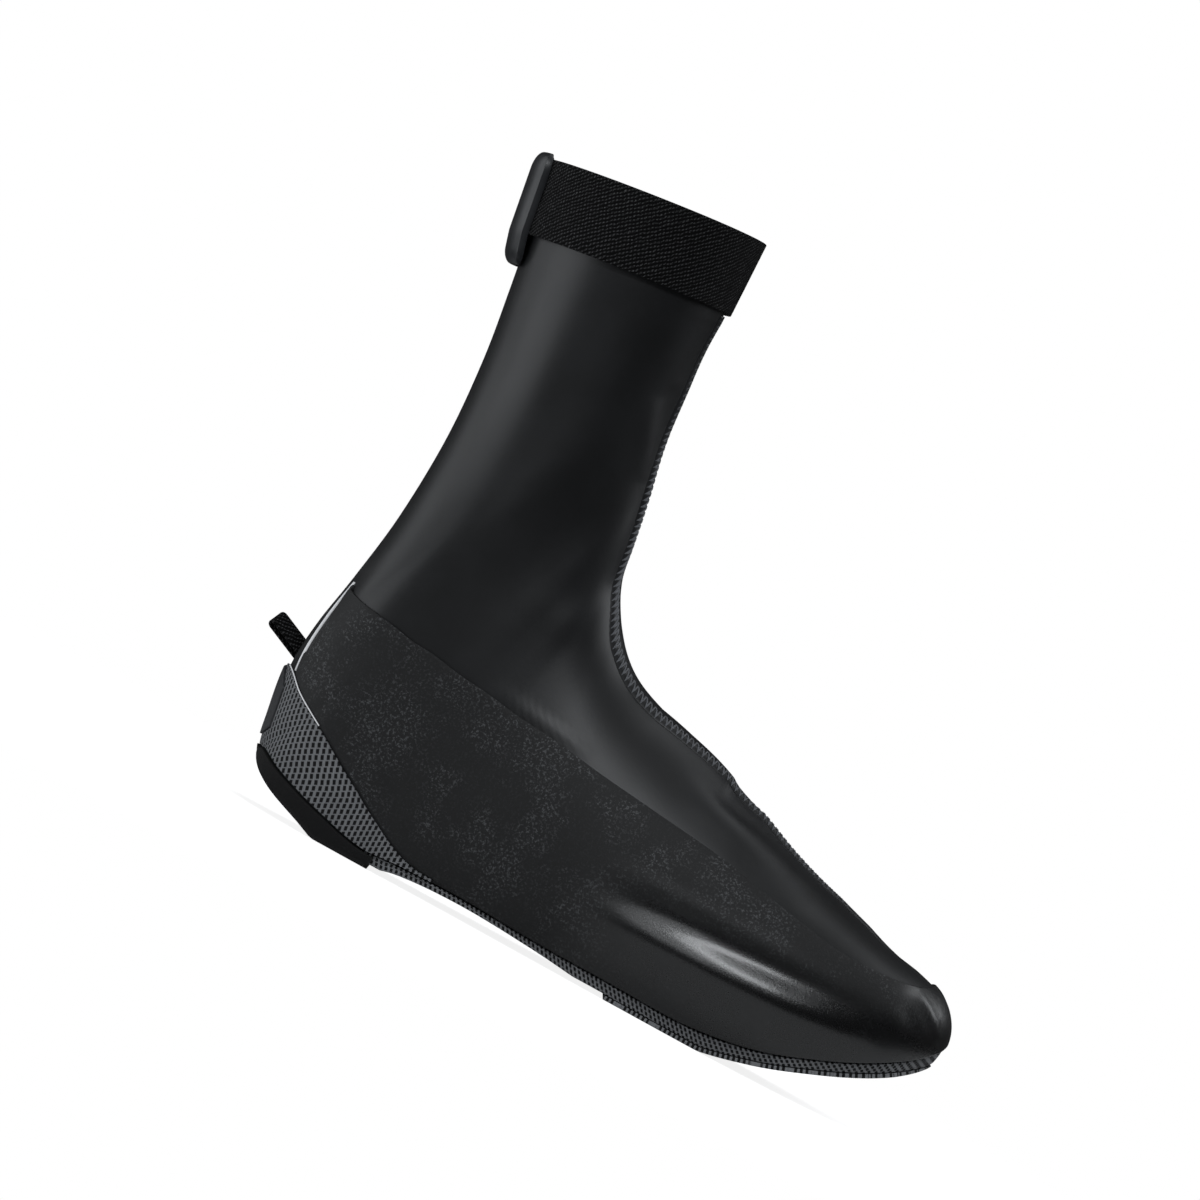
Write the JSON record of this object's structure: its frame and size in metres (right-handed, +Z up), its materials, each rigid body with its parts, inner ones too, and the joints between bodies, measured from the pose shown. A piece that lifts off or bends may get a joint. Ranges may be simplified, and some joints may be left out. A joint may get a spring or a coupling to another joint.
{
  "type": "cycling overshoe",
  "caption": "Stretch cycling overshoe for the right foot with a coated hollow upper, woven sole, heel counter and pad, elastic cuff, closure tab and heel pull loop.",
  "frame": {"origin": "on the floor, under the middle of the overshoe's length and width", "axes": "+X towards the toe, +Y towards the inner side of the right foot, +Z up the shaft"},
  "size_m": [0.3142, 0.1022, 0.2896],
  "materials": {
    "coated_stretch": "satin coated stretch",
    "woven_base": "matte two-tone weave",
    "grained_rubber": "matte grain",
    "silver_strip": "matte silver grey",
    "grained_layer": "matte fine grain",
    "reflective_white": "reflective satin",
    "elastic_webbing": "ribbed twill webbing",
    "smooth_tab": "smooth soft sheen"
  },
  "bodies": {
    "root": {"shell": "coated_stretch", "outsole": "woven_base", "forefoot_pad": "woven_base", "heel_pad": "grained_rubber", "heel_counter": "woven_base", "back_strip": "silver_strip", "side_panel": "grained_layer", "front_seam": "coated_stretch", "reflective_piping_lateral": "reflective_white", "reflective_piping_medial": "reflective_white", "cuff": "elastic_webbing", "closure_tab": "smooth_tab", "pull_loop": "elastic_webbing"}
  },
  "joints": []
}
